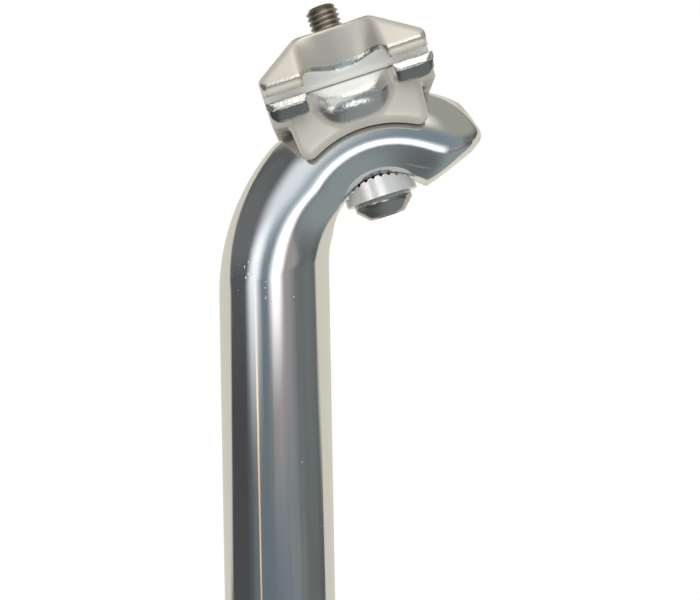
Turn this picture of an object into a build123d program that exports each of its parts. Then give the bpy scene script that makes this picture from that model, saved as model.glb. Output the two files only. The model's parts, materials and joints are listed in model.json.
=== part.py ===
from build123d import *
from math import atan2, cos, degrees, radians, sin, sqrt, tan
import os

# Bicycle seatpost with a single-bolt clamp for the saddle's rails, in millimetres.
# Z runs up the tube from its lower chamfer, X to the rear, Y to the right.

# Tube: a 27.2 mm seatpost, hollow up to the neck.
tube_diameter = 27.2
tube_bore = 22.4
bore_length = 262.0
drill_point = 118.0
tube_end_chamfer = 0.8

# Saddle rails, and where the clamp holds them.
rail_diameter = 7.0
rail_spacing = 44.0
rail_height = 350.0
setback = 19.0
rail_angle = 17.0

# Clamp head: arcs about the tilt axis.
rail_rise = 37.8
seat_radius = 36.6
head_inner = 13.6
underside_radius = 15.4
nose_reach = 30.4
nose_lean = 30.0
chin_height = 5.2
chin_lean = 53.0
nose_round = 3.0
head_rear_angle = 46.0

# Neck: the round tube bends and flows into the oval head. Angles are at the tilt axis, from the tube's.
neck_bend_radius = 56.0
neck_bend_drop = 14.0
neck_head_angle = 42.0
neck_crown_span = 12.0
neck_throat_angle = 58.0
neck_sections = 18
relief_span = 40.0
relief_overlap = 2.0

# Tilt of the clamp each way, and the slot that the bolt moves in.
tilt_reach = 10.0
slot_clearance = 0.4
seat_gap = 0.3

# Bolt: M8 x 50 with a conical head and a 6 mm hexagon socket.
bolt_diameter = 8.0
bolt_length = 49.5
bolt_tip_chamfer = 0.9
bolt_head_diameter = 14.4
bolt_head_end = 8.9
bolt_head_height = 4.4
bolt_head_rim = 1.7
socket_width = 6.0
socket_depth = 3.0
thread_clearance = 0.05
bolt_hole_clearance = 0.4

# Ridged washer under the head.
washer_diameter = 17.9
washer_base = 10.1
washer_hole = 8.8
ridge_pitch = 7.4
ridge_groove = 0.55
ridge_grooves = 10

# Both clamp halves.
clamp_length = 40.4
waist_length = 20.6
lip_gap = 0.9
channel_wall = 1.9

# Lower cradle.
skirt_half_width = 17.5
skirt_radius = 26.4
skirt_half_length = 16.4
skirt_taper = 1.6
skirt_corner_round = 2.2
skirt_edge_chamfer = 1.2
pad_end_height = 5.6
bead_chamfer = 1.6
belly_radius = 10.8
belly_curve = 17.0
belly_half_width = 20.8
belly_top_width = 18.0
belly_shoulder = 3.8
belly_foot = 6.6

# Upper clamp.
cap_height = 12.8
cap_top_length = 18.6
cap_end_height = 5.1
cap_lip_reach = 26.4
cap_lip_radius = 0.95
cap_foot_width = 54.0
cap_top_width = 42.0
waist_half_width = 19.3
cap_top_round = 3.4
cap_end_round = 1.6
cap_edge_chamfer = 1.2

# Sizes that follow from those above.
tube_radius = tube_diameter / 2
head_widest = seat_radius - tube_radius
head_belly = head_widest - head_inner
rail_radius = rail_diameter / 2
rail_side = rail_spacing / 2
bolt_radius = bolt_diameter / 2
half_length = clamp_length / 2
waist_half_length = waist_length / 2
slot_radius = bolt_radius + slot_clearance
bead_radius = rail_radius + channel_wall
tilt_x = setback + rail_rise * sin(radians(rail_angle))
tilt_z = rail_height - rail_rise * cos(radians(rail_angle))
tilt_centre = (tilt_x, 0, tilt_z)
tilt_axis = Axis(tilt_centre, (0, 1, 0))
neck_bend_x = neck_bend_radius - tube_radius - tilt_x
neck_tube_angle = 90 + degrees(atan2(neck_bend_drop, tilt_x + tube_radius))
bolt_head_top = washer_base
cap_top = rail_rise + cap_height
lip_bottom = rail_rise + lip_gap / 2
clear_of_part = 4 * tube_diameter


def section_plane(angle, centre=tilt_centre):
    """Plane through an axis across the post: x is radial, at this angle to the tube, and y is across."""
    turn = radians(angle)
    return Plane(origin=centre, x_dir=(sin(turn), 0, cos(turn)), z_dir=(-cos(turn), 0, sin(turn)))


def radial_plane(angle):
    """Plane at the tilt axis that faces outward along this angle to the tube."""
    turn = radians(angle)
    return Plane(origin=tilt_centre, x_dir=(cos(turn), 0, -sin(turn)), z_dir=(sin(turn), 0, cos(turn)))


def ease(share):
    """Smooth rise from 0 to 1, level at both ends."""
    share = min(max(share, 0), 1)
    return share * share * (3 - 2 * share)


def neck_outer(angle):
    """Distance from the tilt axis to the outside of the neck: its bend, let down onto the head's seat."""
    turn = radians(angle)
    along = -neck_bend_x * sin(turn) - neck_bend_drop * cos(turn)
    bend = along + sqrt(along**2 - neck_bend_x**2 - neck_bend_drop**2 + neck_bend_radius**2)
    rise = ease((angle - neck_head_angle) / neck_crown_span)
    return seat_radius + rise * (bend - seat_radius)


def around_bar(crown):
    """Corners of three flats that lie round the outside of a bar as thick as the tube, with the seat's gap."""
    half = tube_radius + seat_gap
    flank = half * tan(radians(45 / 2))
    centre = crown - tube_radius
    return [
        (centre, -half),
        (centre + flank, -half),
        (centre + half, -flank),
        (centre + half, flank),
        (centre + flank, half),
        (centre, half),
    ]


def slot_half(level):
    """Half the length of the bolt's slot at this height over the tilt axis."""
    lean = radians(tilt_reach)
    return level * tan(lean) + slot_radius / cos(lean)


# The clamp's own planes: across the bolt, from the side, and along the rails.
clamp_base = radial_plane(-rail_angle)
clamp_side = Plane(origin=tilt_centre, x_dir=clamp_base.x_dir, z_dir=(0, -1, 0))
clamp_cross = Plane(origin=tilt_centre, x_dir=(0, 1, 0), z_dir=clamp_base.x_dir)
bolt_axis = Axis(tilt_centre, clamp_base.z_dir)
rail_axis = Axis(tilt_centre, clamp_base.x_dir)
tilt_location = Location(tilt_centre)

# Clamp head: an oval section turned about the tilt axis, cut to a nose at the rear.
with BuildPart() as head:
    with BuildSketch(section_plane(-neck_head_angle)):
        with BuildLine():
            CenterArc((head_widest, 0), tube_radius, -90, 180)
            EllipticalCenterArc((head_widest, 0), head_belly, tube_radius, 90, arc_size=180)
        make_face()
    revolve(axis=tilt_axis, revolution_arc=neck_head_angle + head_rear_angle)
    nose_plane = radial_plane(90 - nose_lean).offset(nose_reach)
    split(bisect_by=nose_plane, keep=Keep.BOTTOM)
    chin_plane = radial_plane(90 + chin_lean).offset(-chin_height)
    split(bisect_by=chin_plane, keep=Keep.BOTTOM)
    nose_faces = head.faces().filter_by(GeomType.PLANE).sort_by(Axis.X)[-2:]
    fillet(nose_faces.edges(), nose_round)

# Slot for the bolt: its ends lean with the bolt at each end of the tilt.
with BuildPart() as slot:
    slot_low = underside_radius / 2
    slot_high = seat_radius + tube_radius
    with BuildSketch(clamp_side):
        with BuildLine():
            Polyline(
                (-slot_half(slot_low), slot_low),
                (slot_half(slot_low), slot_low),
                (slot_half(slot_high), slot_high),
                (-slot_half(slot_high), slot_high),
                close=True,
            )
        make_face()
    extrude(amount=slot_radius, both=True)
    end_walls = slot.faces() - slot.faces().filter_by(Axis.Y) - slot.faces().filter_by(bolt_axis)
    fillet(end_walls.edges() - slot.edges().filter_by(Axis.Y), bolt_radius)

# Post: straight tube, neck and head in one forging.
with BuildPart() as post:
    with BuildSketch(Plane.XY.offset(-tube_end_chamfer)):
        Circle(tube_radius)
    extrude(amount=rail_height)
    split(bisect_by=section_plane(-neck_tube_angle), keep=Keep.TOP)
    for step in range(neck_sections + 1):
        angle = neck_head_angle + (neck_tube_angle - neck_head_angle) * step / neck_sections
        blend = ease((angle - neck_throat_angle) / (neck_tube_angle - neck_throat_angle))
        slant = 1 / sin(radians(angle))
        inner = (1 - blend) * head_inner + blend * (tilt_x - tube_radius) * slant
        widest = (1 - blend) * head_widest + blend * tilt_x * slant
        with BuildSketch(section_plane(-angle)):
            with BuildLine():
                EllipticalCenterArc((widest, 0), neck_outer(angle) - widest, tube_radius, -90, arc_size=180)
                EllipticalCenterArc((widest, 0), widest - inner, tube_radius, 90, arc_size=180)
            make_face()
    loft()
    add(head.part)
    # Curved seat for the washer, on the underside of the head.
    with Locations(tilt_location):
        Cylinder(underside_radius, clear_of_part, rotation=(90, 0, 0), mode=Mode.SUBTRACT)
    add(slot.part, mode=Mode.SUBTRACT)
    # Bore of the tube, drilled up to the solid neck.
    with BuildSketch(Plane.XY.offset(-tube_end_chamfer)):
        Circle(tube_bore / 2)
    extrude(amount=bore_length + tube_end_chamfer, mode=Mode.SUBTRACT)
    drill_height = tube_bore / 2 / tan(radians(drill_point / 2))
    with Locations((0, 0, bore_length + drill_height / 2)):
        Cone(tube_bore / 2, 0, drill_height, mode=Mode.SUBTRACT)
    chamfer(post.faces().sort_by(Axis.Z)[0].edges(), tube_end_chamfer)

# Bead that carries one end of a rail, and the belly between two beads.
with BuildPart() as bead:
    with BuildSketch(clamp_cross.offset(waist_half_length)):
        with Locations((rail_side, rail_rise)):
            Circle(bead_radius)
    extrude(amount=half_length - waist_half_length)
    chamfer(bead.faces().sort_by(rail_axis)[-1].edges(), bead_chamfer)
    mirror(about=clamp_cross)
    mirror(about=Plane.XZ)

with BuildPart() as belly:
    with BuildSketch(clamp_cross):
        with BuildLine():
            Polyline(
                (tube_radius, rail_rise),
                (belly_top_width, rail_rise),
                (belly_half_width, rail_rise - belly_shoulder),
                (belly_half_width, rail_rise - belly_foot),
                (skirt_half_width, rail_rise - belly_radius),
                (tube_radius, rail_rise - belly_radius),
                close=True,
            )
        make_face()
    extrude(amount=waist_half_length, both=True)
    with BuildSketch(clamp_base):
        with Locations((0, belly_half_width - belly_curve)):
            Circle(belly_curve)
    extrude(amount=rail_rise, mode=Mode.INTERSECT)
    with BuildSketch(clamp_side):
        with Locations((0, rail_rise)):
            Circle(belly_radius)
    extrude(amount=clear_of_part, both=True, mode=Mode.INTERSECT)
    mirror(about=Plane.XZ)

# Room under the cradle: three flats turned about the tilt axis as a seat on the head.
with BuildPart() as saddle:
    seat_start = tilt_reach - neck_head_angle
    with BuildSketch(section_plane(seat_start - relief_span)):
        with BuildLine():
            Polyline(*around_bar(seat_radius), close=True)
        make_face()
    revolve(axis=tilt_axis, revolution_arc=relief_span + 90)
    # Ahead of the seat the same flats follow the bend of the neck, where it comes at full tilt.
    lean = radians(tilt_reach)
    relief_centre = (
        tilt_x + neck_bend_x * cos(lean) - neck_bend_drop * sin(lean),
        0,
        tilt_z - neck_bend_x * sin(lean) - neck_bend_drop * cos(lean),
    )
    with BuildSketch(section_plane(seat_start - relief_span, relief_centre)):
        with BuildLine():
            Polyline(*around_bar(neck_bend_radius), close=True)
        make_face()
    revolve(axis=Axis(relief_centre, (0, 1, 0)), revolution_arc=relief_span + relief_overlap)

# Lower cradle: a pad over the head with a skirt down each side, beads and bellies.
with BuildPart() as lower_cradle:
    with BuildSketch(clamp_side) as cradle_side:
        with BuildLine():
            Polyline(
                (half_length, rail_rise),
                (half_length, rail_rise - pad_end_height),
                (skirt_half_length, rail_rise - pad_end_height),
                (skirt_half_length - skirt_taper, skirt_radius / 2),
                (skirt_taper - skirt_half_length, skirt_radius / 2),
                (-skirt_half_length, rail_rise - pad_end_height),
                (-half_length, rail_rise - pad_end_height),
                (-half_length, rail_rise),
                close=True,
            )
        make_face()
        Circle(skirt_radius, mode=Mode.SUBTRACT)
        fillet(cradle_side.vertices().sort_by(Axis.Y)[:2], skirt_corner_round)
    extrude(amount=skirt_half_width, both=True)
    side_faces = lower_cradle.faces().filter_by(Axis.Y)
    parting_face = lower_cradle.faces().filter_by(GeomType.PLANE).sort_by(bolt_axis)[-1]
    chamfer(side_faces.edges() - parting_face.edges(), skirt_edge_chamfer)
    add(bead.part)
    add(belly.part)
    # Everything above the parting face, and the top of each lip.
    with BuildSketch(clamp_base.offset(rail_rise)):
        Rectangle(clear_of_part, clear_of_part)
    extrude(amount=clear_of_part, mode=Mode.SUBTRACT)
    with BuildSketch(clamp_base.offset(rail_rise - lip_gap / 2)):
        with Locations((0, rail_side + bead_radius), (0, -rail_side - bead_radius)):
            Rectangle(clear_of_part, 2 * bead_radius)
    extrude(amount=lip_gap, mode=Mode.SUBTRACT)
    # Rail channels.
    with BuildSketch(clamp_cross):
        with Locations((rail_side, rail_rise), (-rail_side, rail_rise)):
            Circle(rail_radius)
    extrude(amount=clamp_length, both=True, mode=Mode.SUBTRACT)
    # Room for the head and the neck.
    add(saddle.part, mode=Mode.SUBTRACT)
    with BuildSketch(clamp_base):
        Circle(bolt_radius + bolt_hole_clearance)
    extrude(amount=2 * rail_rise, mode=Mode.SUBTRACT)

# Waist of the upper clamp: a hollow each side, deep between the lips and shallow at the top.
with BuildPart() as waist:
    for level, face in ((rail_rise, cap_lip_reach + cap_lip_radius), (cap_top, cap_top_width / 2)):
        with BuildSketch(clamp_base.offset(level)):
            with BuildLine():
                ThreePointArc((-waist_half_length, face), (0, waist_half_width), (waist_half_length, face))
                Polyline(
                    (waist_half_length, face),
                    (waist_half_length, rail_spacing),
                    (-waist_half_length, rail_spacing),
                    (-waist_half_length, face),
                )
            make_face()
    loft(ruled=True)
    mirror(about=Plane.XZ)

# Upper clamp: four wings over the rails, drawn in to a waist at the bolt.
with BuildPart() as upper_clamp:
    with BuildSketch(clamp_side) as cap_side:
        with BuildLine():
            Polyline(
                (-half_length, rail_rise),
                (half_length, rail_rise),
                (half_length, rail_rise + cap_end_height),
                (cap_top_length / 2, cap_top),
                (-cap_top_length / 2, cap_top),
                (-half_length, rail_rise + cap_end_height),
                close=True,
            )
        make_face()
        fillet(cap_side.vertices().group_by(Axis.Y)[-1], cap_top_round)
        fillet(cap_side.vertices().group_by(Axis.Y)[1], cap_end_round)
    extrude(amount=clear_of_part, both=True)
    with BuildSketch(clamp_cross):
        with BuildLine():
            Polyline(
                (-cap_foot_width / 2, rail_rise),
                (cap_foot_width / 2, rail_rise),
                (cap_top_width / 2, cap_top),
                (-cap_top_width / 2, cap_top),
                close=True,
            )
        make_face()
    extrude(amount=clamp_length, both=True, mode=Mode.INTERSECT)
    right_face = upper_clamp.faces().sort_by(Axis.Y)[-1]
    left_face = upper_clamp.faces().sort_by(Axis.Y)[0]
    foot_face = upper_clamp.faces().sort_by(bolt_axis)[0]
    chamfer(right_face.edges() + left_face.edges() - foot_face.edges(), cap_edge_chamfer)
    # Lips, and the gap below them.
    with BuildSketch(clamp_cross):
        with Locations((cap_lip_reach, lip_bottom + cap_lip_radius), (-cap_lip_reach, lip_bottom + cap_lip_radius)):
            Circle(cap_lip_radius)
    extrude(amount=half_length - cap_lip_radius, both=True)
    with BuildSketch(clamp_base.offset(lip_bottom)):
        with Locations((0, 2 * rail_side), (0, -2 * rail_side)):
            Rectangle(clear_of_part, rail_spacing)
    extrude(amount=-lip_gap, mode=Mode.SUBTRACT)
    add(waist.part, mode=Mode.SUBTRACT)
    # Rail channels and the tapped hole.
    with BuildSketch(clamp_cross):
        with Locations((rail_side, rail_rise), (-rail_side, rail_rise)):
            Circle(rail_radius)
    extrude(amount=clamp_length, both=True, mode=Mode.SUBTRACT)
    with BuildSketch(clamp_base):
        Circle(bolt_radius + thread_clearance)
    extrude(amount=2 * cap_top, mode=Mode.SUBTRACT)

# Clamp bolt, head down.
with BuildPart() as clamp_bolt:
    with BuildSketch(clamp_cross):
        with BuildLine():
            Polyline(
                (0, bolt_head_top - bolt_head_height),
                (bolt_head_end / 2, bolt_head_top - bolt_head_height),
                (bolt_head_diameter / 2, bolt_head_top - bolt_head_rim),
                (bolt_head_diameter / 2, bolt_head_top),
                (bolt_radius, bolt_head_top),
                (bolt_radius, bolt_head_top + bolt_length - bolt_tip_chamfer),
                (bolt_radius - bolt_tip_chamfer, bolt_head_top + bolt_length),
                (0, bolt_head_top + bolt_length),
                close=True,
            )
        make_face()
    revolve(axis=bolt_axis, revolution_arc=360)
    with BuildSketch(clamp_base.offset(bolt_head_top - bolt_head_height)):
        RegularPolygon(socket_width / sqrt(3), 6)
    extrude(amount=socket_depth, mode=Mode.SUBTRACT)

# Ridged washer: flat below, curved to the underside of the head above.
with BuildPart() as ridged_washer:
    with BuildSketch(clamp_base.offset(washer_base)):
        Circle(washer_diameter / 2)
    extrude(amount=underside_radius)
    with Locations(tilt_location):
        Cylinder(underside_radius - seat_gap, clear_of_part, rotation=(90, 0, 0), mode=Mode.INTERSECT)
    with BuildSketch(clamp_side):
        for ridge in range(ridge_grooves):
            groove_turn = radians((ridge - (ridge_grooves - 1) / 2) * ridge_pitch)
            reach = underside_radius - seat_gap
            with Locations((reach * sin(groove_turn), reach * cos(groove_turn))):
                RegularPolygon(ridge_groove, 4)
    extrude(amount=washer_diameter, both=True, mode=Mode.SUBTRACT)
    with BuildSketch(clamp_base):
        Circle(washer_hole / 2)
    extrude(amount=2 * underside_radius, mode=Mode.SUBTRACT)

os.makedirs("parts", exist_ok=True)
post.part.label = "post"
export_step(post.part, "parts/post.step")
lower_cradle.part.label = "lower_cradle"
export_step(lower_cradle.part, "parts/lower_cradle.step")
upper_clamp.part.label = "upper_clamp"
export_step(upper_clamp.part, "parts/upper_clamp.step")
clamp_bolt.part.label = "clamp_bolt"
export_step(clamp_bolt.part, "parts/clamp_bolt.step")
ridged_washer.part.label = "ridged_washer"
export_step(ridged_washer.part, "parts/ridged_washer.step")

for name, piece in (
    ("post", post),
    ("lower_cradle", lower_cradle),
    ("upper_clamp", upper_clamp),
    ("clamp_bolt", clamp_bolt),
    ("ridged_washer", ridged_washer),
):
    print(name, len(piece.part.solids()), round(piece.part.volume, 1), piece.part.is_valid)
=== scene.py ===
# %% [markdown]
# # A polished bicycle seatpost
# The real object is a bent aluminium post with a clamp for the two rails of a saddle. One bolt
# squeezes the clamp together. The solids come from CAD, and this script keeps their form. It
# rounds the edges of the clamp as tumbling does, cuts a real thread on the bolt, gives each piece
# its metal, and builds the studio around them, because a mirror finish shows what is around it.

# %% Load the frame
import json
import math

import bmesh
import bpy
from mathutils import Matrix, Vector


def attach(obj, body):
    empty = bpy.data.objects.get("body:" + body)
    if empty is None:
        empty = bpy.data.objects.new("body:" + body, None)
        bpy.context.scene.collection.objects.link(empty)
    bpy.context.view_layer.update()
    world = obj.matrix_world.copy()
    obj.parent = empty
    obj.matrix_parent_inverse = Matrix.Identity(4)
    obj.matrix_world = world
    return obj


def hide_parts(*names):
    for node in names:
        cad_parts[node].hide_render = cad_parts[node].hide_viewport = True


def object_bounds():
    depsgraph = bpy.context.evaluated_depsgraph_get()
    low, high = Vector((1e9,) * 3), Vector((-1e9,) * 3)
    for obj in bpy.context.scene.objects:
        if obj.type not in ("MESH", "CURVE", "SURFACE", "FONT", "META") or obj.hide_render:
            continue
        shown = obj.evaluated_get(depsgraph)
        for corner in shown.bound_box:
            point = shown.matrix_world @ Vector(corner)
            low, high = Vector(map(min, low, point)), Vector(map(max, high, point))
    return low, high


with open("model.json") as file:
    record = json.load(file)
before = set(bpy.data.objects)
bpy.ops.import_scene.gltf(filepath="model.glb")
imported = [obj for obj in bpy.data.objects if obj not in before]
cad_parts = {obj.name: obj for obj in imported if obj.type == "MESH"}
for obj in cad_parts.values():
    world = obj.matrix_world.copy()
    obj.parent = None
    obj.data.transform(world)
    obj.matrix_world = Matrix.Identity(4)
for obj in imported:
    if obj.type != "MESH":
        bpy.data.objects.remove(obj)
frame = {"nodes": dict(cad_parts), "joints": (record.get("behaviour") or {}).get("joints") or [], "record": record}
cad_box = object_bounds()
nodes = frame["nodes"]
print("CAD nodes:", ", ".join(sorted(nodes)))

# %% [markdown]
# The record knows where the clamp tilts and where its bolt points, so nothing is typed twice:
# the tilt joint gives the clamp's centre, and the bolt's joint gives the direction of the bolt.
# Lengths below are written in millimetres and multiplied by MM.

# %% Read the clamp's own frame
MM = 0.001
joints = {joint["name"]: joint for joint in frame["joints"]}
mounts = {mount["name"]: mount for mount in frame["record"]["mounts"]}
tilt_centre = Vector(joints["saddle_tilt"]["pos_m"])
bolt_up = -Vector(joints["bolt_turn"]["axis"]).normalized()
across = Vector((0, 1, 0))
along_rails = across.cross(bolt_up)
clamp_frame = Matrix((along_rails, across, bolt_up)).transposed().to_4x4()
clamp_frame.translation = tilt_centre
rail_place = Vector(mounts["rail_left"]["pos_m"])
rail_rise = (rail_place - tilt_centre).dot(bolt_up)
rail_side = abs(rail_place.y)
tube_radius = mounts["tube"]["dims"]["r_mm"] * MM
print("bolt points along", [round(value, 3) for value in bolt_up])
print("rails lie", round(rail_rise / MM, 1), "mm over the tilt axis")

# %% [markdown]
# ## Camera
# The photograph was taken from the left side, level with the neck and quite near, so the beads
# in front look a little larger than the post behind them. The lens is chosen so that the tube is
# as wide as in the photograph. The camera is held about one degree off level.

# %% Place the camera
camera_place = Vector((18.63, -335.0, 298.5)) * MM
camera_roll = math.atan(5 / 270)
image_width = 700
tube_width_in_image = 110
focal_pixels = -camera_place.y * tube_width_in_image / (2 * tube_radius)

camera_data = bpy.data.cameras.new("camera")
camera_data.sensor_width = 36
camera_data.lens = focal_pixels / image_width * camera_data.sensor_width
camera_data.clip_start = 0.01
camera_data.clip_end = 20
camera = bpy.data.objects.new("camera", camera_data)
bpy.context.scene.collection.objects.link(camera)
right = Vector((math.cos(camera_roll), 0, -math.sin(camera_roll)))
up = Vector((math.sin(camera_roll), 0, math.cos(camera_roll)))
camera.matrix_world = Matrix((right, up, Vector((0, -1, 0)))).transposed().to_4x4()
camera.location = camera_place
bpy.context.scene.camera = camera
print("lens", round(camera_data.lens, 1), "mm")

# %% [markdown]
# ## Studio
# Worlds, lamps and materials are all trees of nodes. A tree could be built by hand, one node and
# one link at a time, but the same few steps come back everywhere. So they are written once, as
# helpers that add a node, feed its sockets and return the output.

# %% Node helpers
def add_node(tree, kind, **settings):
    """A new node with its properties set."""
    node = tree.nodes.new(kind)
    for name, value in settings.items():
        setattr(node, name, value)
    return node


def feed(tree, socket, value):
    """Gives a socket another node's output, a number or a colour."""
    if isinstance(value, bpy.types.NodeSocket):
        tree.links.new(value, socket)
    elif isinstance(value, tuple) and socket.type == "RGBA":
        socket.default_value = (*value, 1)
    else:
        socket.default_value = value


def calculate(tree, operation, *values):
    """A Math node; returns its output."""
    node = add_node(tree, "ShaderNodeMath", operation=operation)
    for socket, value in zip(node.inputs, values):
        feed(tree, socket, value)
    return node.outputs[0]


def both(tree, first, second):
    """1 where both masks are 1."""
    return calculate(tree, "MULTIPLY", first, second)


def soft_step(tree, value, low, high, start=0.0, end=1.0):
    """Goes softly from start, where the value is low, to end, where it is high."""
    node = add_node(tree, "ShaderNodeMapRange", interpolation_type="SMOOTHSTEP")
    limits = {"From Min": low, "From Max": high, "To Min": start, "To Max": end}
    for name, amount in limits.items():
        node.inputs[name].default_value = amount
    tree.links.new(value, node.inputs["Value"])
    return node.outputs["Result"]


def soft_fall(tree, value, low, high):
    """Goes softly from 1, where the value is low, to 0, where it is high."""
    return soft_step(tree, value, low, high, start=1.0, end=0.0)


def mix_colour(tree, share, first, second):
    """Mixes two colours; returns the result."""
    node = add_node(tree, "ShaderNodeMix", data_type="RGBA")
    factor, colour_a, colour_b = node.inputs[0], node.inputs[6], node.inputs[7]
    for socket, value in ((factor, share), (colour_a, first), (colour_b, second)):
        feed(tree, socket, value)
    return node.outputs[2]


# %% [markdown]
# A polished tube is a mirror that shows the whole room in upright stripes. A real room could be
# modelled around it, but only its colours matter, and a world can hold those without a wall. First
# comes a ring of colours by compass direction: dark at the sides, a dim blue grey in front. The
# angles are degrees from the direction to the camera, and count up to the right of the picture.

# %% Paint the walls
white = (1.0, 1.0, 1.0)
side_shade = (0.10, 0.102, 0.104)
room = (0.21, 0.27, 0.30)
right_shade = (0.16, 0.17, 0.162)
room_ring = [
    (-62, side_shade),
    (-40, room),
    (20, room),
    (31, (0.23, 0.29, 0.325)),
    (44, (0.265, 0.30, 0.305)),
    (58, (0.185, 0.21, 0.215)),
    (73, right_shade),
    (90, right_shade),
    (106, side_shade),
]

world = bpy.data.worlds.new("studio")
bpy.context.scene.world = world
world.use_nodes = True
tree = world.node_tree
tree.nodes.clear()
direction = add_node(tree, "ShaderNodeSeparateXYZ")
tree.links.new(add_node(tree, "ShaderNodeTexCoord").outputs["Generated"], direction.inputs[0])
sideways, away, rise = direction.outputs
compass = calculate(tree, "ARCTAN2", sideways, calculate(tree, "MULTIPLY", away, -1))

ring = add_node(tree, "ShaderNodeValToRGB")
tree.links.new(calculate(tree, "MULTIPLY_ADD", compass, 1 / math.tau, 0.5), ring.inputs["Fac"])
stops = ring.color_ramp.elements
for stop, end in zip(stops, (0, 1)):
    stop.position = end
    stop.color = (*side_shade, 1)
for degrees, colour in room_ring:
    stop = stops.new(degrees / 360 + 0.5)
    stop.color = (*colour, 1)
walls = ring.outputs["Color"]
print("the walls have", len(stops), "colours")

# %% [markdown]
# Below eye level the walls get dimmer, with one warm line at the left, and go over into the floor
# of the room, which is lighter at the right. A grey table stands in front, a little to the right.
# Heights are the upward part of a direction: 0 is level, and -1 is straight down.

# %% Paint what lies below the eye
left_ground = (0.11, 0.12, 0.12)
right_ground = (0.27, 0.31, 0.315)
warm_edge = (1.15, 0.76, 0.42)
table = (0.37, 0.335, 0.325)
low_dim = 0.72
dim_height = (-0.10, 0.0)
ground_height = (-0.50, -0.10)
ground_sides = (-0.40, 0.45)
warm_edge_at = math.radians(-35)
warm_edge_half = math.radians(3.5)
warm_edge_core = 0.4 * warm_edge_half
table_at = math.radians(32)
table_inner = math.radians(16)
table_outer = math.radians(48)
table_back_height = (-0.07, -0.03)
table_front_height = (-0.21, -0.15)


def around(tree, angle, centre, inner, outer):
    """1 near an angle, falling to 0 between two distances from it."""
    distance = calculate(tree, "ABSOLUTE", calculate(tree, "SUBTRACT", angle, centre))
    return soft_fall(tree, distance, inner, outer)


dimmed = add_node(tree, "ShaderNodeVectorMath", operation="SCALE")
tree.links.new(walls, dimmed.inputs[0])
dimmed.inputs["Scale"].default_value = low_dim
at_edge = around(tree, compass, warm_edge_at, warm_edge_core, warm_edge_half)
low_walls = mix_colour(tree, at_edge, dimmed.outputs["Vector"], warm_edge)
colour = mix_colour(tree, soft_fall(tree, rise, *dim_height), walls, low_walls)
ground = mix_colour(tree, soft_step(tree, sideways, *ground_sides), left_ground, right_ground)
colour = mix_colour(tree, soft_fall(tree, rise, *ground_height), colour, ground)
table_depth = both(
    tree,
    soft_fall(tree, rise, *table_back_height),
    soft_step(tree, rise, *table_front_height),
)
on_table = both(tree, around(tree, compass, table_at, table_inner, table_outer), table_depth)
colour = mix_colour(tree, on_table, colour, table)
print("a floor, a warm line and a table lie below the eye")

# %% [markdown]
# Above is a pale ceiling, which doesn't reach the left wall, and the left wall itself is a bit
# lighter high up. Behind the post hangs a pale backdrop, so the edges of the tube shine. Light
# Path tells the rays apart: satin metal is lit by plain white, and the camera sees plain white.

# %% Paint the ceiling and the backdrop
backdrop = (0.69, 0.66, 0.565)
ceiling = (0.36, 0.36, 0.31)
high_shade = (0.155, 0.158, 0.16)
ceiling_height = (0.38, 0.66)
ceiling_left_end = (-0.72, -0.40)
high_wall_height = (0.04, 0.25)
high_wall_right_end = (-0.88, -0.60)
backdrop_edge = (0.10, 0.22)

overhead = soft_step(tree, rise, *ceiling_height)
right_of_wall = soft_step(tree, sideways, *ceiling_left_end)
colour = mix_colour(tree, both(tree, overhead, right_of_wall), colour, ceiling)
high_wall = soft_step(tree, rise, *high_wall_height)
left_of_room = soft_fall(tree, sideways, *high_wall_right_end)
colour = mix_colour(tree, both(tree, high_wall, left_of_room), colour, high_shade)
depth = calculate(tree, "SUBTRACT", away, calculate(tree, "ABSOLUTE", rise))
colour = mix_colour(tree, soft_step(tree, depth, *backdrop_edge), colour, backdrop)

rays = add_node(tree, "ShaderNodeLightPath")
colour = mix_colour(tree, rays.outputs["Is Diffuse Ray"], colour, white)
colour = mix_colour(tree, rays.outputs["Is Camera Ray"], colour, white)
background = add_node(tree, "ShaderNodeBackground")
tree.links.new(colour, background.inputs["Color"])
output = add_node(tree, "ShaderNodeOutputWorld")
tree.links.new(background.outputs[0], output.inputs["Surface"])
bpy.context.scene.view_settings.view_transform = "Standard"
print("the world has", len(tree.nodes), "nodes")

# %% [markdown]
# Four area lamps stand near the post: a softbox in front, which makes the bright line down the
# neck, a tall reflector at the left, a weak one that joins the two on the bend, and a softbox over
# the clamp, which whitens the tops of its beads. All are brightest in their middle and fade to
# their edges, as cloth in front of a lamp does. A lamp's power is spread over its face, so its
# brightness in a mirror is power by pi and by area. The camera doesn't see the lamps themselves.

# %% Hang the softboxes
fade_start = 0.05
fade_end = 0.5


def softbox(name, place, target, width, tall, brightness):
    """A rectangular area lamp that looks this bright in a mirror and fades to its edges."""
    data = bpy.data.lights.new(name, "AREA")
    data.shape = "RECTANGLE"
    data.size = width
    data.size_y = tall
    data.energy = brightness * math.pi * width * tall
    data.use_nodes = True
    tree = data.node_tree
    on_face = add_node(tree, "ShaderNodeSeparateXYZ")
    tree.links.new(add_node(tree, "ShaderNodeNewGeometry").outputs["Parametric"], on_face.inputs[0])
    fades = []
    for share in (on_face.outputs["X"], on_face.outputs["Y"]):
        from_middle = calculate(tree, "ABSOLUTE", calculate(tree, "SUBTRACT", share, 0.5))
        fades.append(soft_fall(tree, from_middle, fade_start, fade_end))
    tree.links.new(both(tree, *fades), tree.nodes["Emission"].inputs["Strength"])
    lamp = bpy.data.objects.new(name, data)
    bpy.context.scene.collection.objects.link(lamp)
    lamp.location = place
    lamp.rotation_euler = (Vector(target) - Vector(place)).to_track_quat("-Z", "Y").to_euler()
    lamp.visible_camera = False


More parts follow.
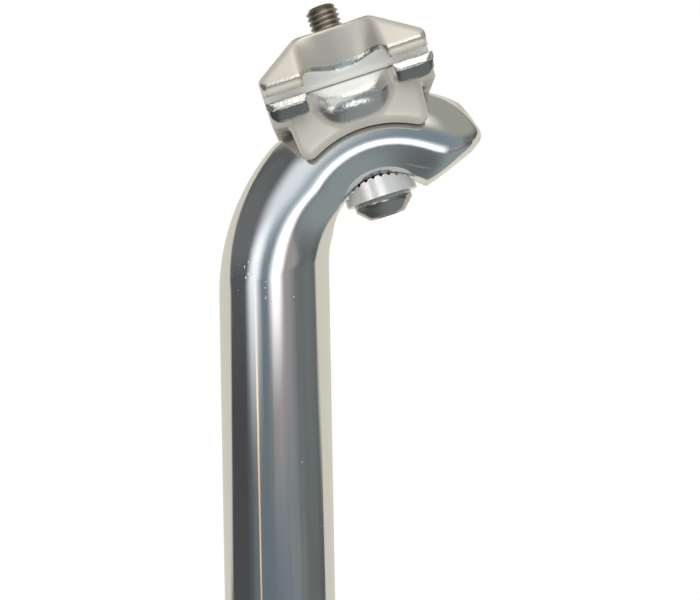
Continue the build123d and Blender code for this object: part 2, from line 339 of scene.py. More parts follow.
# Name, place, target, width and height in metres, and brightness in a mirror.
softboxes = [
    ("front_softbox", (0.045, -0.215, 0.308), (0.045, 0, 0.308), 0.17, 0.14, 1.4),
    ("left_reflector", (-0.224, -0.275, 0.332), (0, 0, 0.332), 0.27, 0.26, 0.85),
    ("upper_reflector", (-0.155, -0.315, 0.48), (0, 0, 0.35), 0.52, 0.33, 0.56),
    ("bead_softbox", (0.014, -0.118, 0.495), (0.017, -0.02, 0.385), 0.22, 0.16, 1.65),
]
for lamp_values in softboxes:
    softbox(*lamp_values)
print(len(softboxes), "softboxes hung")

# %% [markdown]
# The post stands on a round pale board. The board is left out of the reflections, so that the
# polished underside still shows the shade of the room below it.

# %% Floor
floor_radius = 0.16
floor_thickness = 0.012
floor_segments = 128
floor_colour = (0.86, 0.86, 0.85)
floor_roughness = 0.9

mesh = bmesh.new()
bmesh.ops.create_cone(
    mesh,
    cap_ends=True,
    segments=floor_segments,
    radius1=floor_radius,
    radius2=floor_radius,
    depth=floor_thickness,
)
bmesh.ops.translate(mesh, verts=mesh.verts, vec=(0, 0, cad_box[0].z - floor_thickness / 2))
floor_mesh = bpy.data.meshes.new("floor")
mesh.to_mesh(floor_mesh)
mesh.free()
floor = bpy.data.objects.new("floor", floor_mesh)
bpy.context.scene.collection.objects.link(floor)
floor_material = bpy.data.materials.new("floor_paper")
floor_material.use_nodes = True
floor_shader = floor_material.node_tree.nodes["Principled BSDF"]
floor_shader.inputs["Base Color"].default_value = (*floor_colour, 1)
floor_shader.inputs["Roughness"].default_value = floor_roughness
floor_mesh.materials.append(floor_material)
floor.visible_glossy = False
print("floor is", 2 * floor_radius, "m across")

# %% [markdown]
# ## Metals
# Every finish here is the same metal shader with another colour and another roughness. What
# makes one look polished, tumbled or plated is how the roughness and the surface vary from place
# to place. The helpers below measure places in the object's own coordinates, so a finish stays
# on its piece when the piece moves.

# %% Helpers for the finishes
def new_metal(name):
    """A metal material; returns it with its node tree and its shader."""
    material = bpy.data.materials.new(name)
    material.use_nodes = True
    shader = material.node_tree.nodes["Principled BSDF"]
    shader.inputs["Metallic"].default_value = 1
    return material, material.node_tree, shader


def object_place(tree):
    """Coordinates of the shaded point in the frame of the part, in metres."""
    return add_node(tree, "ShaderNodeTexCoord").outputs["Object"]


def vector_math(tree, operation, first, second=None):
    """A Vector Math node on a vector and, where it takes two, on another one."""
    node = add_node(tree, "ShaderNodeVectorMath", operation=operation)
    feed(tree, node.inputs[0], first)
    if second is not None:
        feed(tree, node.inputs[1], second)
    return node.outputs


def distance_along(tree, place, axis, start=(0, 0, 0)):
    """How far a place lies along an axis, from a starting point."""
    offset = vector_math(tree, "SUBTRACT", place, start)["Vector"]
    return vector_math(tree, "DOT_PRODUCT", offset, axis)["Value"]


def stretched(tree, place, scale):
    """Coordinates multiplied along each axis, to draw a texture out."""
    return vector_math(tree, "MULTIPLY", place, scale)["Vector"]


def noise(tree, place, grain, detail=2.0):
    """Noise whose lumps are about this many metres across."""
    node = add_node(tree, "ShaderNodeTexNoise")
    node.inputs["Scale"].default_value = 1 / grain
    node.inputs["Detail"].default_value = detail
    tree.links.new(place, node.inputs["Vector"])
    return node.outputs["Fac"]


def add_bump(tree, shader, height, depth):
    """Raises the shaded surface by a height from 0 to 1, this many metres deep."""
    bump = add_node(tree, "ShaderNodeBump")
    bump.inputs["Strength"].default_value = 1
    bump.inputs["Distance"].default_value = depth
    tree.links.new(height, bump.inputs["Height"])
    tree.links.new(bump.outputs["Normal"], shader.inputs["Normal"])


# %% [markdown]
# ### Polished aluminium
# Handling has left small specks on the polish, and a patch of nicks on the front of the bend. They
# could be painted, but a painted mark needs a picture. Voronoi cells give them without one: each
# cell has one point, and a random draw decides whether that point is a mark.

# %% Specks and nicks
near_core = 0.3
speck_spacing, speck_size, speck_share = 5 * MM, 0.19 * MM, 0.55
nick_spacing, nick_size, nick_share = 0.8 * MM, 0.16 * MM, 0.45
nick_stretch = (1, 1, 0.5)
nick_centre = Vector((-4, -13, 304)) * MM
nick_reach = 9 * MM


def speckles(tree, place, spacing, size, share):
    """1 in small round specks, which sit in a share of cells this far apart."""
    cells = add_node(tree, "ShaderNodeTexVoronoi")
    cells.inputs["Scale"].default_value = 1 / spacing
    tree.links.new(place, cells.inputs["Vector"])
    inside = calculate(tree, "LESS_THAN", cells.outputs["Distance"], size / spacing)
    draw = add_node(tree, "ShaderNodeSeparateColor")
    tree.links.new(cells.outputs["Color"], draw.inputs["Color"])
    chosen = calculate(tree, "LESS_THAN", draw.outputs["Red"], share)
    return both(tree, inside, chosen)


def near(tree, place, centre, reach):
    """1 at a point, falling to 0 this far away from it."""
    distance = vector_math(tree, "DISTANCE", place, centre)["Value"]
    return soft_fall(tree, distance, near_core * reach, reach)


def handling_marks(tree, place):
    """1 in the specks all over and in the nicks on the bend."""
    specks = speckles(tree, place, speck_spacing, speck_size, speck_share)
    nick_place = stretched(tree, place, nick_stretch)
    nicks = speckles(tree, nick_place, nick_spacing, nick_size, nick_share)
    nicks = both(tree, nicks, near(tree, place, nick_centre, nick_reach))
    return calculate(tree, "MAXIMUM", specks, nicks)


# %% [markdown]
# The post was polished on a buffing wheel along the tube. That leaves fine lines that run down
# the tube, which blur a reflection a little more in some places than in others, so noise that is
# drawn out along the tube sets the roughness. Inside the tube the bore is only drilled, so it is
# much duller.

# %% Polished aluminium
line_grain = 0.5 * MM
line_stretch = (1, 1, 0.03)
cloud_grain = 14 * MM
fine_polish, coarse_polish = 0.055, 0.115
clear_cloud, dull_cloud = 0.8, 1.25
dull_roughness = 0.42
mark_metal_loss = -0.7
line_depth_share = 0.05
mark_depth = 0.03 * MM
bore_wall = 12.3 * MM
bore_top = 272 * MM

polished, tree, shader = new_metal("polished_aluminium")
place = object_place(tree)
lines = noise(tree, stretched(tree, place, line_stretch), line_grain)
cloud = noise(tree, place, cloud_grain)
marks = handling_marks(tree, place)
from_tube_axis = vector_math(tree, "LENGTH", stretched(tree, place, (1, 1, 0)))["Value"]
in_bore = calculate(tree, "LESS_THAN", from_tube_axis, bore_wall)
below_neck = calculate(tree, "LESS_THAN", distance_along(tree, place, (0, 0, 1)), bore_top)
dull = calculate(tree, "MAXIMUM", marks, both(tree, in_bore, below_neck))

polish = soft_step(tree, lines, 0.3, 0.75, start=fine_polish, end=coarse_polish)
clouded = soft_step(tree, cloud, 0.3, 0.7, start=clear_cloud, end=dull_cloud)
polish = calculate(tree, "MULTIPLY", polish, clouded)
dulled = calculate(tree, "MULTIPLY", dull, dull_roughness)
feed(tree, shader.inputs["Roughness"], calculate(tree, "MAXIMUM", polish, dulled))
metal_share = calculate(tree, "MULTIPLY_ADD", marks, mark_metal_loss, 1.0)
feed(tree, shader.inputs["Metallic"], metal_share)
tint = mix_colour(tree, cloud, (0.87, 0.875, 0.88), (0.83, 0.835, 0.84))
feed(tree, shader.inputs["Base Color"], mix_colour(tree, marks, tint, (0.95, 0.95, 0.94)))
relief = calculate(tree, "SUBTRACT", calculate(tree, "MULTIPLY", lines, line_depth_share), marks)
add_bump(tree, shader, relief, mark_depth)
print("polished aluminium has", len(tree.nodes), "nodes")

# %% [markdown]
# ### Tumbled aluminium
# The two halves of the clamp were forged and then tumbled with stones. The stones rub the flat
# faces to an even satin and knock the outside of the rail beads and the belly, where they hit
# hardest, into a bright skin of small dimples. The lower side of the beads is coloured a darker
# grey, as painted shade under their bulge. The waist of the upper half was ground smoother than
# its wings. Each of these is a mask, 1 where the finish is, told by distances on the clamp.

# %% Where the stones hit
channel_edge = (3.6 * MM, 3.9 * MM)
bright_side = (17.9 * MM, 18.9 * MM)
bright_lip = (4.7 * MM, 5.1 * MM)
waist_edge = (8.6 * MM, 10.2 * MM)
bead_start = (10.0 * MM, 11.0 * MM)
bead_underside = (rail_rise - 3.2 * MM, rail_rise - 2.5 * MM)


def rail_distance(tree, place):
    """Distance from the middle of the nearer rail."""
    side = calculate(tree, "ABSOLUTE", distance_along(tree, place, across))
    from_rail = calculate(tree, "SUBTRACT", side, rail_side)
    height = distance_along(tree, place, bolt_up, tilt_centre)
    over_rail = calculate(tree, "SUBTRACT", height, rail_rise)
    squares = [calculate(tree, "MULTIPLY", value, value) for value in (from_rail, over_rail)]
    return calculate(tree, "SQRT", calculate(tree, "ADD", *squares))


def in_channel(tree, place):
    """In the round channels that hold the rails."""
    return soft_fall(tree, rail_distance(tree, place), *channel_edge)


def bright_outside(tree, place):
    """The lower half is bright on its beads and bellies, outside its skirts."""
    side = calculate(tree, "ABSOLUTE", distance_along(tree, place, across))
    return soft_step(tree, side, *bright_side)


def bright_foot(tree, place):
    """The upper half is bright on its lips and round the channels."""
    return soft_fall(tree, rail_distance(tree, place), *bright_lip)


def from_bolt(tree, place):
    """Distance from the bolt, along the rails."""
    return calculate(tree, "ABSOLUTE", distance_along(tree, place, along_rails, tilt_centre))


def glossy_waist(tree, place):
    """The waist of the upper half, near the bolt."""
    return soft_fall(tree, from_bolt(tree, place), *waist_edge)


def painted_shade_under_beads(tree, place):
    """The lower side of the beads, where the colour is darkened as painted shade."""
    low = soft_fall(tree, distance_along(tree, place, bolt_up, tilt_centre), *bead_underside)
    return both(tree, low, soft_step(tree, from_bolt(tree, place), *bead_start))


# %% [markdown]
# One function makes the finish for both halves from their masks. Satin metal scatters light like
# a pale paint, so the satin part is only partly metallic. Dimples come from noise, and they show
# only where the skin is bright.

# %% Tumbled aluminium
dimple_size = 0.7 * MM
dimple_depth = 0.065 * MM
grain_size = 0.25 * MM
grain_share = 0.05
patch_size = 9 * MM
smooth_satin, rough_satin = 0.36, 0.42
smooth_dimple, rough_dimple = 0.15, 0.24
gloss_roughness, channel_roughness = 0.27, 0.4
satin_metal, gloss_metal, channel_metal = 0.4, 0.65, 0.35
bright_tint = (0.85, 0.835, 0.805)
# Painted shade: the darker grey for the lower side of the beads.
painted_shade_grey = (0.45, 0.44, 0.42)
# Painted highlight: the pale colour of the rail channels.
channel_painted_highlight = (0.84, 0.83, 0.80)


def mix_values(tree, share, first, second):
    """Mixes two numbers; returns the result."""
    node = add_node(tree, "ShaderNodeMix")
    sockets = (node.inputs[0], node.inputs[2], node.inputs[3])
    for socket, value in zip(sockets, (share, first, second)):
        feed(tree, socket, value)
    return node.outputs[0]


def tumbled_aluminium(name, satin_tint, bright_mask, gloss_mask=None):
    """Forged aluminium: satin, bright with dimples or glossy by masks, with painted shade
    under the beads and a painted highlight in the channels.
    """
    material, tree, shader = new_metal(name)
    place = object_place(tree)
    bright = bright_mask(tree, place)
    channel = in_channel(tree, place)
    dimples = noise(tree, place, dimple_size, detail=1.0)
    patches = noise(tree, place, patch_size)

    roughness = soft_step(tree, patches, 0.3, 0.7, start=smooth_satin, end=rough_satin)
    metal_share = satin_metal
    if gloss_mask:
        glossy = gloss_mask(tree, place)
        roughness = mix_values(tree, glossy, roughness, gloss_roughness)
        metal_share = mix_values(tree, glossy, metal_share, gloss_metal)
    shine = soft_step(tree, dimples, 0.3, 0.7, start=smooth_dimple, end=rough_dimple)
    roughness = mix_values(tree, bright, roughness, shine)
    feed(tree, shader.inputs["Roughness"], mix_values(tree, channel, roughness, channel_roughness))
    metal_share = mix_values(tree, bright, metal_share, 1.0)
    feed(tree, shader.inputs["Metallic"], mix_values(tree, channel, metal_share, channel_metal))

    tint = mix_colour(tree, bright, satin_tint, bright_tint)
    # Painted shade: the lower side of the beads is coloured a darker grey.
    tint = mix_colour(tree, both(tree, bright, painted_shade_under_beads(tree, place)), tint, painted_shade_grey)
    # Painted highlight: the rail channels are coloured pale and made less metallic, so they read as brightly lit.
    feed(tree, shader.inputs["Base Color"], mix_colour(tree, channel, tint, channel_painted_highlight))
    knocked = calculate(tree, "MULTIPLY", dimples, bright)
    even = calculate(tree, "MULTIPLY", noise(tree, place, grain_size), grain_share)
    add_bump(tree, shader, calculate(tree, "ADD", knocked, even), dimple_depth)
    print(name, "has", len(tree.nodes), "nodes")
    return material


cradle_metal = tumbled_aluminium("tumbled_aluminium_lower", (0.67, 0.635, 0.56), bright_outside)
# The upper half gets a darker satin tint than the lower one, as painted shade that offsets the softbox over the
# clamp.
cap_metal = tumbled_aluminium(
    "tumbled_aluminium_upper", (0.61, 0.573, 0.505), bright_foot, gloss_mask=glossy_waist
)

# %% [markdown]
# ### Plated and browned steel
# The bolt is plated. The plating on the head stays bright, but the thread has been screwed in
# and out with grease and has gone brown, and its crests are coloured lighter as a painted
# highlight. So the colour changes with the height on the bolt and with the distance from its axis.

# %% Plated bolt
crest_start = (3.6 * MM, 3.9 * MM)
brown_start = (30 * MM, 36 * MM)
stain_size = 1.5 * MM
plated = (0.52, 0.505, 0.475)
dark_brown = (0.25, 0.20, 0.165)
light_brown = (0.36, 0.30, 0.26)
crest_painted_highlight = (0.62, 0.57, 0.52)
plate_roughness, brown_roughness = 0.13, 0.34
roughening = (0.3, 1.6)

bolt_metal, tree, shader = new_metal("plated_bolt")
place = object_place(tree)
threaded = soft_step(tree, distance_along(tree, place, bolt_up, tilt_centre), *brown_start)
offset = vector_math(tree, "SUBTRACT", place, tilt_centre)["Vector"]
sideways_offset = vector_math(tree, "CROSS_PRODUCT", offset, bolt_up)["Vector"]
from_axis = vector_math(tree, "LENGTH", sideways_offset)["Value"]
stain = noise(tree, place, stain_size)
browned = mix_colour(tree, stain, dark_brown, light_brown)
# Painted highlight: the crests of the thread are coloured lighter.
browned = mix_colour(tree, soft_step(tree, from_axis, *crest_start), browned, crest_painted_highlight)
feed(tree, shader.inputs["Base Color"], mix_colour(tree, threaded, plated, browned))
worn = calculate(tree, "ADD", threaded, stain)
roughness = soft_step(tree, worn, *roughening, start=plate_roughness, end=brown_roughness)
feed(tree, shader.inputs["Roughness"], roughness)
print("plated bolt has", len(tree.nodes), "nodes")

# %% [markdown]
# The washer has a thick white nickel plate, a little worn. It keeps the mesh of its CAD solid,
# whose ridges are real, and only gets a material. Like satin, thick nickel scatters some light, so
# it is half metallic.

# %% Nickel washer
wear_size = 1.2 * MM
wear_depth = 0.012 * MM
nickel_metal = 0.5
smooth_nickel, worn_nickel = 0.14, 0.24

washer_metal, tree, shader = new_metal("nickel_washer")
place = object_place(tree)
wear = noise(tree, place, wear_size)
shader.inputs["Metallic"].default_value = nickel_metal
nickel = mix_colour(tree, wear, (0.97, 0.96, 0.94), (0.91, 0.90, 0.875))
feed(tree, shader.inputs["Base Color"], nickel)
roughness = soft_step(tree, wear, 0.3, 0.7, start=smooth_nickel, end=worn_nickel)
feed(tree, shader.inputs["Roughness"], roughness)
add_bump(tree, shader, wear, wear_depth)
nodes["ridged_washer"].data.materials.clear()
nodes["ridged_washer"].data.materials.append(washer_metal)
print("nickel washer has", len(tree.nodes), "nodes")

# %% [markdown]
# ## Pieces
# A CAD solid comes as triangles, with its points doubled along every edge. The first helper takes
# a copy with those points merged, so that the copy is one closed skin. The second makes an object
# of a finished mesh, and lets it ride on the CAD body that it belongs to.

# %% Copy a solid and add a piece
same_point = 0.0002 * MM


def copy_solid(name):
    """A mesh of a CAD solid as one closed skin."""
    mesh = bmesh.new()
    mesh.from_mesh(nodes[name].data)
    bmesh.ops.remove_doubles(mesh, verts=mesh.verts, dist=same_point)
    bmesh.ops.recalc_face_normals(mesh, faces=mesh.faces)
    return mesh


def add_piece(mesh, name, body, node, material):
    """Makes an object that stands for a CAD node and rides on its body."""
    data = bpy.data.meshes.new(name)
    for face in mesh.faces:
        face.smooth = True
    mesh.to_mesh(data)
    mesh.free()
    data.materials.append(material)
    piece = bpy.data.objects.new(name, data)
    bpy.context.scene.collection.objects.link(piece)
    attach(piece, body)
    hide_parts(node)
    print(name, "has", len(data.polygons), "faces")
    return piece


# %% [markdown]
# ### Post
# In a mirror finish the eye reads the direction of the surface, not its place. The triangles of
# the solid are fine enough in place, but their averaged directions waver and the bright line
# would shiver. The form has a formula, so each corner of the skin can get the direction that the
# formula gives: round on the tube, and on the neck and the head an oval that is swung about the
# tilt axis while it goes from round to pear-shaped. The sizes are those of the solid.

# %% The skin of the neck as a formula
seat_radius = 36.6 * MM
head_inner = 13.6 * MM
neck_bend_radius = 56 * MM
neck_bend_drop = 14 * MM
neck_head_angle = 42
neck_crown_span = 12
neck_throat_angle = 58
head_widest = seat_radius - tube_radius
neck_bend_x = neck_bend_radius - tube_radius - tilt_centre.x
neck_tube_angle = 90 + math.degrees(math.atan2(neck_bend_drop, tilt_centre.x + tube_radius))


def ease(share):
    """Smooth rise from 0 to 1, level at both ends."""
    share = min(max(share, 0), 1)
    return share * share * (3 - 2 * share)


def neck_outer(angle):
    """Distance from the tilt axis to the outside of the neck."""
    turn = math.radians(angle)
    along = -neck_bend_x * math.sin(turn) - neck_bend_drop * math.cos(turn)
    bend = along + math.sqrt(along**2 - neck_bend_x**2 - neck_bend_drop**2 + neck_bend_radius**2)
    return seat_radius + ease((angle - neck_head_angle) / neck_crown_span) * (bend - seat_radius)


def skin(point):
    """0 on the skin of the post, below 0 inside it and above 0 outside."""
    dx = point.x - tilt_centre.x
    dz = point.z - tilt_centre.z
    angle = math.degrees(math.atan2(-dx, dz))
    if angle >= neck_tube_angle or angle < -90:
        return (point.x**2 + point.y**2) / tube_radius**2 - 1
    inner, widest, outer = head_inner, head_widest, seat_radius
    if angle > neck_head_angle:
        blend = ease((angle - neck_throat_angle) / (neck_tube_angle - neck_throat_angle))
        slant = 1 / math.sin(math.radians(angle))
        inner = (1 - blend) * head_inner + blend * (tilt_centre.x - tube_radius) * slant
        widest = (1 - blend) * head_widest + blend * tilt_centre.x * slant
        outer = neck_outer(angle)
    reach = math.hypot(dx, dz) - widest
    half = outer - widest if reach > 0 else widest - inner
    return (reach / half) ** 2 + (point.y / tube_radius) ** 2 - 1


# %% [markdown]
# A formula that is 0 on a surface also gives its direction: the way in which it grows fastest. A
# small step to each side along each axis measures that, without any algebra.

# %% The direction of the skin
probe_step = 0.02 * MM


def skin_direction(point):
    """The outward direction of the skin, and how far the point stands out of it."""
    slope = Vector()
    for axis in range(3):
        ahead = Vector(point)
        back = Vector(point)
        ahead[axis] += probe_step
        back[axis] -= probe_step
        slope[axis] = (skin(ahead) - skin(back)) / (2 * probe_step)
    steepness = max(slope.length, 1.0)
    return slope.normalized(), skin(point) / steepness


print("the back of the tube looks along", list(skin_direction(Vector((tube_radius, 0, 0)))[0]))

# %% [markdown]
# At the nose of the head three surfaces meet: the skin, the face of the nose and the face of the
# chin under it. On the real forging they run into each other. A big fillet would change the form
# of the solid, so only the direction goes over from one to the next, weighted by how near each
# surface is, and the nose shines as a round one does.

# %% The rounded nose
nose_reach = 30.4 * MM
nose_turn = math.radians(60)
chin_height = 5.2 * MM
chin_turn = math.radians(143)
nose_softness = 1.8 * MM
nose_direction = Vector((math.sin(nose_turn), 0, math.cos(nose_turn)))
chin_direction = Vector((math.sin(chin_turn), 0, math.cos(chin_turn)))


def past_nose(point):
    """How far a point stands out of the face of the nose and of the chin."""
    offset = point - tilt_centre
    return offset.dot(nose_direction) - nose_reach, offset.dot(chin_direction) + chin_height


def rounded_direction(point):
    """The outward direction where skin, nose and chin meet, and the depth below them."""
    skin_way, skin_depth = skin_direction(point)
    nose_depth, chin_depth = past_nose(point)
    ways = (skin_way, nose_direction, chin_direction)
    depths = (skin_depth, nose_depth, chin_depth)
    total = Vector()
    for way, depth in zip(ways, depths):
        total += way * math.exp(min(depth, 0) / nose_softness)
    return total.normalized(), -max(depths)


# %% [markdown]
# The post is a copy of the solid, cut finer at the nose so that the direction has corners to
# change on. Corners that lie on the skin and already look about the right way get the direction
# of the formula. Corners on cut faces, as in the slot and the bore, keep their own.

# %% Post
sharp_angle = math.radians(30)
skin_tolerance, skin_turn = 0.1 * MM, math.radians(15)
nose_tolerance, nose_turn_limit = 1.2 * MM, math.radians(60)
nose_zone = 9 * MM
nose_cuts = 3


def at_nose(point):
    """Near the nose or the chin, or past them."""
    return max(past_nose(point)) > -nose_zone


def corner_directions(data):
    """The directions in which the corners of a mesh look."""
    return [corner.vector.copy() for corner in data.corner_normals]


mesh = copy_solid("post")
nose_verts = {vert for vert in mesh.verts if at_nose(vert.co)}
nose_edges = [edge for edge in mesh.edges if nose_verts.issuperset(edge.verts)]
bmesh.ops.subdivide_edges(mesh, edges=nose_edges, cuts=nose_cuts, use_grid_fill=True)
piece = add_piece(mesh, "post_skin", "post", "post", polished)
data = piece.data
data.set_sharp_from_angle(angle=sharp_angle)
directions = corner_directions(data)
set_corners = 0
for face in data.polygons:
    for corner in face.loop_indices:
        point = data.vertices[data.loops[corner].vertex_index].co
        way, depth = rounded_direction(point)
        tolerance, widest_turn = skin_tolerance, skin_turn
        if at_nose(point):
            tolerance, widest_turn = nose_tolerance, nose_turn_limit
        if abs(depth) < tolerance and way.dot(face.normal) > math.cos(widest_turn):
            directions[corner] = way
            set_corners += 1
data.normals_split_custom_set(directions)
print(set_corners, "of", len(directions), "corners follow the formula")

# %% [markdown]
# ### Clamp halves
# Tumbling rounds every edge of a forging. A bevel could do that, but it fails where many small
# faces meet. Instead an even skin of small squares is drawn over each solid, along the clamp's
# own directions so that its flat faces stay flat, and then every point is moved toward its
# neighbours a few times. Flat faces don't change by that, and edges become round.

# %% Round the edges as tumbling does
square_size = 0.32 * MM


def even_skin(mesh):
    """Draws an even skin of small squares over a solid."""
    data = bpy.data.meshes.new("blank")
    mesh.to_mesh(data)
    blank = bpy.data.objects.new("blank", data)
    bpy.context.scene.collection.objects.link(blank)
    remesh = blank.modifiers.new("even_skin", "REMESH")
    remesh.mode = "VOXEL"
    remesh.voxel_size = square_size
    drawn = blank.evaluated_get(bpy.context.evaluated_depsgraph_get())
    mesh.clear()
    mesh.from_mesh(drawn.to_mesh())
    bpy.data.objects.remove(blank)
    bpy.data.meshes.remove(data)


def rub(mesh, rounds, rubbed):
    """Moves the points for which rubbed is true toward their neighbours."""
    verts = [vert for vert in mesh.verts if rubbed(vert.co)]
    for _ in range(rounds):
        bmesh.ops.smooth_vert(
            mesh, verts=verts, factor=0.5, use_axis_x=True, use_axis_y=True, use_axis_z=True
        )


# %% [markdown]
# Not every place is rubbed alike. The parting line between the halves stays crisp, because the
# halves are pressed together there. The lips beside the rails are thin and would shrink, so they
# get only a few rounds. The beads and the bellies stick out and get the most. Each place is told
# by a test on a point, in the clamp's own directions: x along the rails, y across, z up the bolt.

# %% Where the clamp is rubbed
parting_line = 0.4 * MM
waist_half_length = 10.3 * MM
skirt_side = 18 * MM
lip_side = rail_side + 2.5 * MM
lip_foot = rail_rise - 2.2 * MM


def off_parting(point):
    """Away from the parting line, where the halves stay crisp."""
    return abs(point.z - rail_rise) > parting_line or abs(point.x) > waist_half_length


def on_lip(point):
    """On the thin lip of a bead, beside the rail."""
    beside_rail = abs(point.y) > lip_side and point.z > lip_foot
    return beside_rail and abs(point.x) > waist_half_length


def off_lips(point):
    """Where the metal is thick, away from the lips and the parting line."""
    return off_parting(point) and not on_lip(point)


def outside_skirt(point):
    """On the beads and the bellies, where the stones hit."""
    return off_lips(point) and abs(point.y) > skirt_side


def on_belly(point):
    """On a belly, which hangs between two beads."""
    under_parting = point.z < rail_rise - parting_line
    return outside_skirt(point) and abs(point.x) < waist_half_length and under_parting


# %% [markdown]
# The outer upper edge of a bead is a rolled lip. Points beyond a round of the right radius are
# pulled onto it: those on the outside toward the middle of the round, and those beside the rail
# straight down, so that the rail keeps its room.

# %% Round the lips of the beads
lip_round = 2.7 * MM
lip_top = rail_rise - 0.45 * MM
bead_reach = rail_side + 5.2 * MM
lip_centre_side = bead_reach - lip_round
lip_centre_height = lip_top - lip_round


def round_lips(mesh):
    """Pulls the outer upper edge of each bead onto a round, as a lip that was rolled in."""
    for vert in mesh.verts:
        out = abs(vert.co.y) - lip_centre_side
        up = vert.co.z - lip_centre_height
        reach = math.hypot(out, up)
        if min(out, up) > 0 and reach > lip_round:
            if out > 0.5 * lip_round:
                vert.co.y = math.copysign(lip_centre_side + out * lip_round / reach, vert.co.y)
                vert.co.z = lip_centre_height + up * lip_round / reach
            else:
                vert.co.z = lip_centre_height + math.sqrt(lip_round**2 - out**2)


# %% [markdown]
# The lower half is a forging with a pad over the head of the post, a skirt down each side, four
# beads for the rails and a belly on each side between the beads. Its bellies are rubbed longest,
# until they look like half an egg.

# %% Lower half
lip_rounds, edge_rounds, bead_rounds, belly_rounds = 5, 14, 30, 90

mesh = copy_solid("lower_cradle")
bmesh.ops.transform(mesh, matrix=clamp_frame.inverted(), verts=mesh.verts)
even_skin(mesh)
round_lips(mesh)
rub(mesh, lip_rounds, on_lip)
rub(mesh, edge_rounds, off_lips)
rub(mesh, bead_rounds, outside_skirt)
rub(mesh, belly_rounds, on_belly)
bmesh.ops.transform(mesh, matrix=clamp_frame, verts=mesh.verts)
cradle = add_piece(
    mesh, "lower_cradle_tumbled", "cradle", "lower_cradle", cradle_metal
)

# %% [markdown]
# On the real beads the upper half looks up and shines white, then the bead turns over sharply and
# the lower half is dark. The wall of the solid is too thin to cut that crown into it, so the crown
# is given by the directions of the corners, as at the nose. The list says how far down a bead, as
# a share of its height, its crown looks up by how many degrees.

# %% Crown the beads
crown = [(0.0, 48), (0.08, 35), (0.46, 21), (0.57, -24), (1.0, -62)]
bead_height = 4.7 * MM
least_outward = 0.25


def crown_turn(share):
    """The upward turn of the crown of a bead, in radians."""
    for (start, first), (end, last) in zip(crown, crown[1:]):
        if share <= end:
            return math.radians(first + (last - first) * max(share - start, 0) / (end - start))
    return math.radians(crown[-1][1])


def on_bead(point):
    """On the outer half of a bead, below its lip."""
    return abs(point.x) > waist_half_length and abs(point.y) > rail_side and point.z < lip_top


to_clamp = clamp_frame.inverted()
turn_to_clamp = to_clamp.to_3x3()
turn_back = clamp_frame.to_3x3()
data = cradle.data
points = [to_clamp @ vert.co for vert in data.vertices]
directions = corner_directions(data)
crowned = 0
for corner in data.loops:
    point = points[corner.vertex_index]
    way = turn_to_clamp @ directions[corner.index]
    outward = math.copysign(1, point.y)
    if on_bead(point) and way.y * outward > least_outward:
        turn = crown_turn((lip_top - point.z) / bead_height)
        flat = math.sqrt(1 - way.x**2)
        way = Vector((way.x, outward * flat * math.cos(turn), flat * math.sin(turn)))
        directions[corner.index] = turn_back @ way
        crowned += 1
data.normals_split_custom_set(directions)
print(crowned, "corners of the beads are crowned")

# %% [markdown]
# The upper half has four wings that press on the rails and a waist that is tapped for the bolt. Its
# edges are rubbed all alike, apart from the parting line.

# %% Upper half
mesh = copy_solid("upper_clamp")
bmesh.ops.transform(mesh, matrix=clamp_frame.inverted(), verts=mesh.verts)
even_skin(mesh)
rub(mesh, edge_rounds, off_parting)
bmesh.ops.transform(mesh, matrix=clamp_frame, verts=mesh.verts)
add_piece(mesh, "upper_clamp_tumbled", "cap", "upper_clamp", cap_metal)

# %% [markdown]
# ### Bolt
# The bolt is an M8 with a pitch of 1.25 mm. A thread is a saw-tooth line turned once about the
# axis while it climbs by one pitch, so the spin operator makes it if every step also moves up.
# The copies then meet one pitch higher, and their doubled points are merged.

# %% Spin the thread
bolt_radius = 4 * MM
pitch = 1.25 * MM
root_radius = bolt_radius - 0.68 * MM
crest_radius = bolt_radius - 0.03 * MM
thread_start = 36 * MM
spare_turns = 3
spin_steps = 48
same_thread_point = 0.01 * MM
# Share of the pitch and radius, for the corners of one tooth.
tooth = ((0, root_radius), (0.25, root_radius), (0.5625, crest_radius), (0.6875, crest_radius))


def saw_tooth(mesh, low, turns):
    """A line of edges along the bolt that goes in and out once in every pitch."""
    points = [(low + (turn + share) * pitch, out) for turn in range(turns) for share, out in tooth]
    points.append((low + turns * pitch, root_radius))
    verts = [mesh.verts.new((out, 0, height)) for height, out in points]
    return [mesh.edges.new(pair) for pair in zip(verts, verts[1:])]


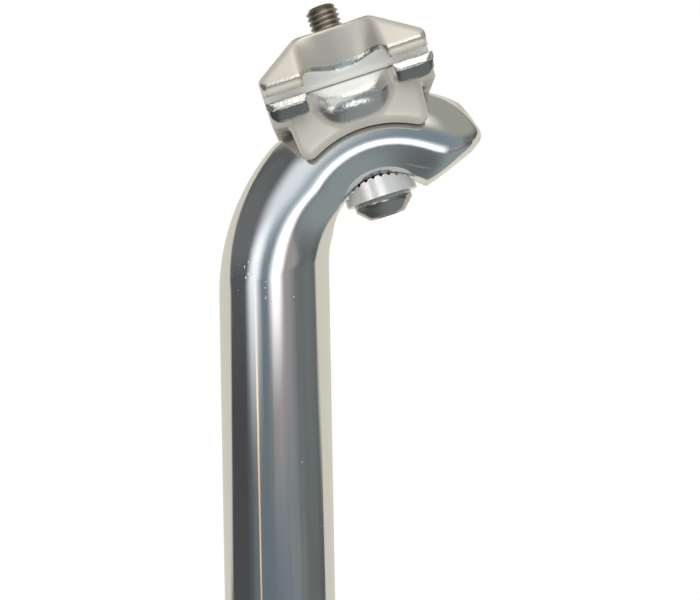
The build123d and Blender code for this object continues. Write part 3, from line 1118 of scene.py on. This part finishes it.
bolt_node = nodes["clamp_bolt"]
bolt_points = [bolt_node.matrix_world @ vert.co for vert in bolt_node.data.vertices]
bolt_tip = max((point - tilt_centre).dot(bolt_up) for point in bolt_points)
turns = math.ceil((bolt_tip - thread_start) / pitch) + spare_turns
thread = bmesh.new()
profile = saw_tooth(thread, thread_start - 2 * pitch, turns)
bmesh.ops.spin(
    thread,
    geom=profile + thread.verts[:],
    axis=(0, 0, 1),
    cent=(0, 0, 0),
    dvec=(0, 0, pitch / spin_steps),
    angle=math.tau,
    steps=spin_steps,
)
bmesh.ops.remove_doubles(thread, verts=thread.verts, dist=same_thread_point)
print("thread makes", turns, "turns")

# %% [markdown]
# The thread is made too long and then cut at both ends, and each cut is closed. The tip is
# chamfered so that it finds its hole, and at the lower end the groove runs out into the shank.

# %% Trim the thread
tip_chamfer = 0.9 * MM
overlap = 0.4 * MM


def cut_off(mesh, place, way):
    """Cuts away what lies beyond a plane and closes the cut."""
    cut = bmesh.ops.bisect_plane(
        mesh,
        geom=mesh.verts[:] + mesh.edges[:] + mesh.faces[:],
        plane_co=place,
        plane_no=way,
        clear_outer=True,
    )
    rim = [edge for edge in cut["geom_cut"] if isinstance(edge, bmesh.types.BMEdge)]
    bmesh.ops.edgeloop_fill(mesh, edges=rim)


cut_off(thread, (0, 0, thread_start - overlap), (0, 0, -1))
cut_off(thread, (0, 0, bolt_tip), (0, 0, 1))
for vert in thread.verts:
    out = math.hypot(vert.co.x, vert.co.y)
    run_out = min(max(1 - (vert.co.z - thread_start) / pitch, 0), 1)
    wanted = max(out, root_radius + run_out * (crest_radius - root_radius))
    wanted = min(wanted, crest_radius - max(vert.co.z - bolt_tip + tip_chamfer, 0))
    if out > 0:
        vert.co.x *= wanted / out
        vert.co.y *= wanted / out
bmesh.ops.recalc_face_normals(thread, faces=thread.faces)
bmesh.ops.transform(thread, matrix=clamp_frame, verts=thread.verts)
print("thread has", len(thread.faces), "faces")

# %% [markdown]
# The solid's own head and lower shank stay. Its plain upper end is cut away, and the thread takes
# its place in the same mesh, with a small overlap so that no gap shows.

# %% Bolt
bolt = copy_solid("clamp_bolt")
cut_off(bolt, tilt_centre + thread_start * bolt_up, bolt_up)
whole = bpy.data.meshes.new("thread")
thread.to_mesh(whole)
thread.free()
bolt.from_mesh(whole)
bpy.data.meshes.remove(whole)
piece = add_piece(bolt, "threaded_bolt", "bolt", "clamp_bolt", bolt_metal)
piece.data.set_sharp_from_angle(angle=sharp_angle)
